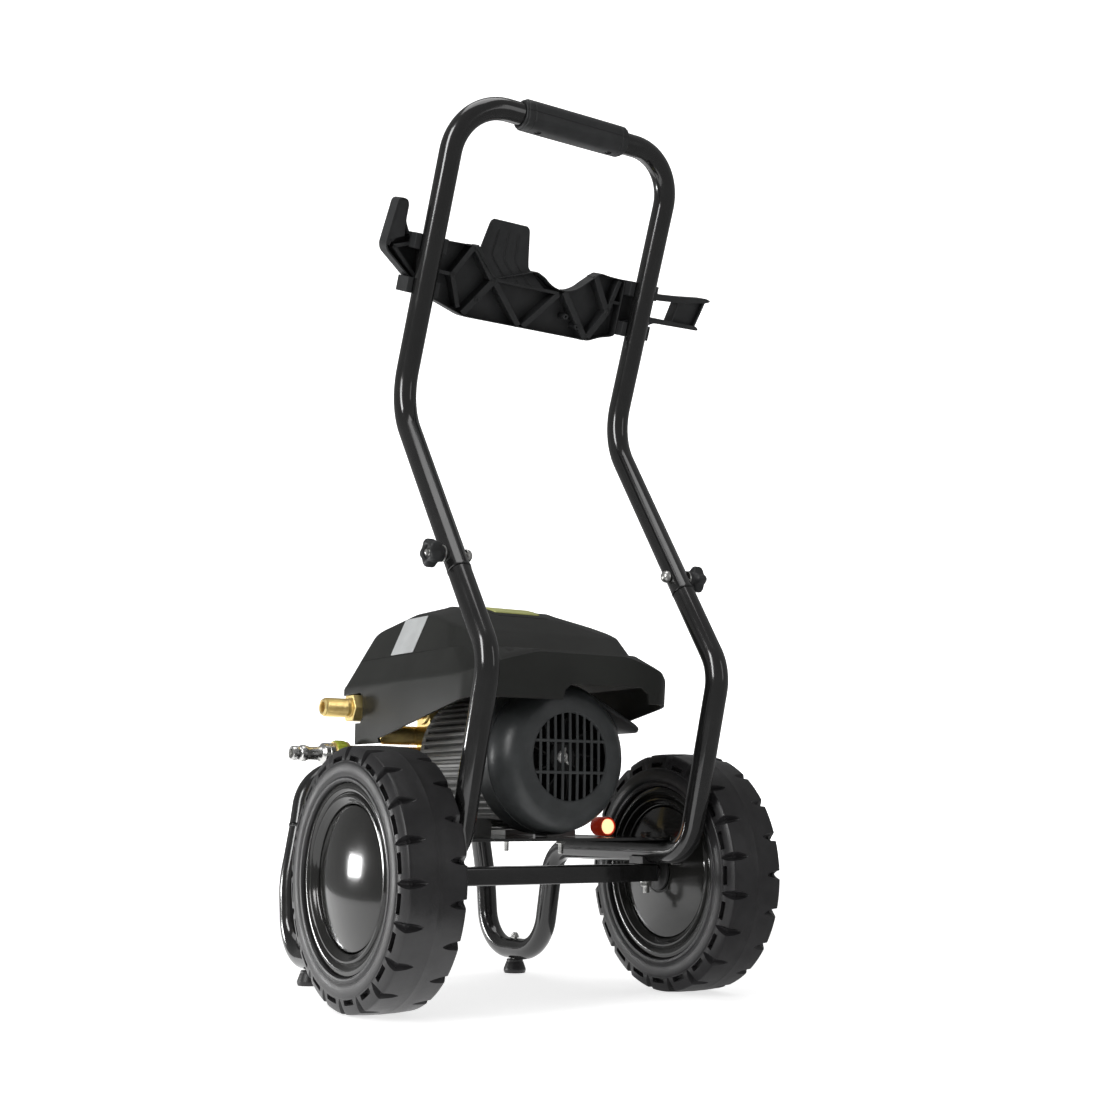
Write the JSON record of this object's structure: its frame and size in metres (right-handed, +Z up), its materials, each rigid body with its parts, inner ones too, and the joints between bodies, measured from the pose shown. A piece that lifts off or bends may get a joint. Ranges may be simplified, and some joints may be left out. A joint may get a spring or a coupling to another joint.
{
  "type": "pressure washer",
  "caption": "Wheeled electric pressure washer: bent-tube trolley with a tall handle, lance holder, two tyred wheels, motor and pump under a moulded hood.",
  "frame": {"origin": "middle of the footprint's box, on the ground", "axes": "+Z up, +Y the way the trolley is pushed, +X to the right of the person pushing"},
  "size_m": [0.4862, 0.4929, 0.971],
  "materials": {
    "frame_paint": "gloss black powder coat",
    "black_plastic": "satin black moulding",
    "hood_plastic": "satin moulding with a fine grain",
    "stripe": "yellow-green inlay",
    "label": "blank silver-grey film",
    "rubber": "black rubber",
    "rim_paint": "gloss black paint",
    "nylon": "black nylon",
    "steel": "zinc-plated steel",
    "aluminium": "die-cast, painted grey",
    "iron": "laminated steel",
    "copper": "lacquered copper windings in a laminated core",
    "brass": "machined brass",
    "lamp_red": "red moulding",
    "lamp_amber": "amber lens"
  },
  "bodies": {
    "frame": {"left_frame_tube": "frame_paint", "right_frame_tube": "frame_paint", "front_crossbar": "frame_paint", "axle_beam": "frame_paint", "wheel_axle": "steel", "base_plate": "frame_paint", "left_saddle": "black_plastic", "right_saddle": "black_plastic", "left_foot": "rubber", "right_foot": "rubber", "left_foot_bolt": "steel", "right_foot_bolt": "steel", "left_frame_bolt": "steel", "right_frame_bolt": "steel", "motor_casing": "aluminium", "stator": "copper", "rear_end_shield": "aluminium", "front_end_shield": "aluminium", "fan_cover": "black_plastic", "terminal_box": "black_plastic", "terminal_box_lid": "black_plastic", "cable_gland": "black_plastic", "left_rear_motor_bolt": "steel", "left_front_motor_bolt": "steel", "right_rear_motor_bolt": "steel", "right_front_motor_bolt": "steel", "pump_crankcase": "aluminium", "pump_head": "brass", "outlet_fitting": "brass", "inlet_fitting": "brass", "inlet_coupling": "steel", "hood_shell": "hood_plastic", "hood_cap": "hood_plastic", "hood_stripe": "stripe", "rating_plate": "label", "pilot_lamp_housing": "lamp_red", "pilot_lamp_lens": "lamp_amber"},
    "handle": {"handle_tube": "frame_paint", "grip_upper": "black_plastic", "grip_lower": "black_plastic", "tool_holder": "black_plastic", "lance_hook": "black_plastic", "cable_hook": "black_plastic", "left_clamp_bolt": "steel", "right_clamp_bolt": "steel"},
    "left_knob": {"left_clamp_knob": "black_plastic"},
    "right_knob": {"right_clamp_knob": "black_plastic"},
    "left_wheel": {"left_tyre": "rubber", "left_rim": "rim_paint", "left_hub": "nylon", "left_wheel_dome": "rim_paint"},
    "right_wheel": {"right_tyre": "rubber", "right_rim": "rim_paint", "right_hub": "nylon", "right_wheel_dome": "rim_paint"},
    "rotor": {"rotor": "iron", "cooling_fan": "black_plastic", "wobble_plate": "steel"},
    "switch": {"main_switch_knob": "black_plastic"}
  },
  "joints": [
    {"name": "left_wheel_spin", "type": "hinge", "parent": "frame", "child": "left_wheel", "pos_m": [-0.20535, -0.106, 0.132], "axis": [1, 0, 0], "continuous": true},
    {"name": "right_wheel_spin", "type": "hinge", "parent": "frame", "child": "right_wheel", "pos_m": [0.18565, -0.106, 0.132], "axis": [1, 0, 0], "continuous": true},
    {"name": "motor_spin", "type": "hinge", "parent": "frame", "child": "rotor", "pos_m": [-0.00985, -0.106, 0.2555], "axis": [0, 1, 0], "continuous": true},
    {"name": "handle_lift", "type": "slide", "parent": "frame", "child": "handle", "axis": [0, 0.5535, 0.8328], "range_m": [0, 0.04]},
    {"name": "left_knob_turn", "type": "hinge", "parent": "handle", "child": "left_knob", "pos_m": [-0.17785, -0.1658, 0.4573], "axis": [-1, 0, 0], "range_deg": [0, 720]},
    {"name": "right_knob_turn", "type": "hinge", "parent": "handle", "child": "right_knob", "pos_m": [0.15815, -0.1658, 0.4573], "axis": [1, 0, 0], "range_deg": [0, 720]},
    {"name": "switch_turn", "type": "hinge", "parent": "frame", "child": "switch", "pos_m": [-0.00985, 0.1455, 0.337], "axis": [0, 1, 0], "range_deg": [0, 90]}
  ]
}
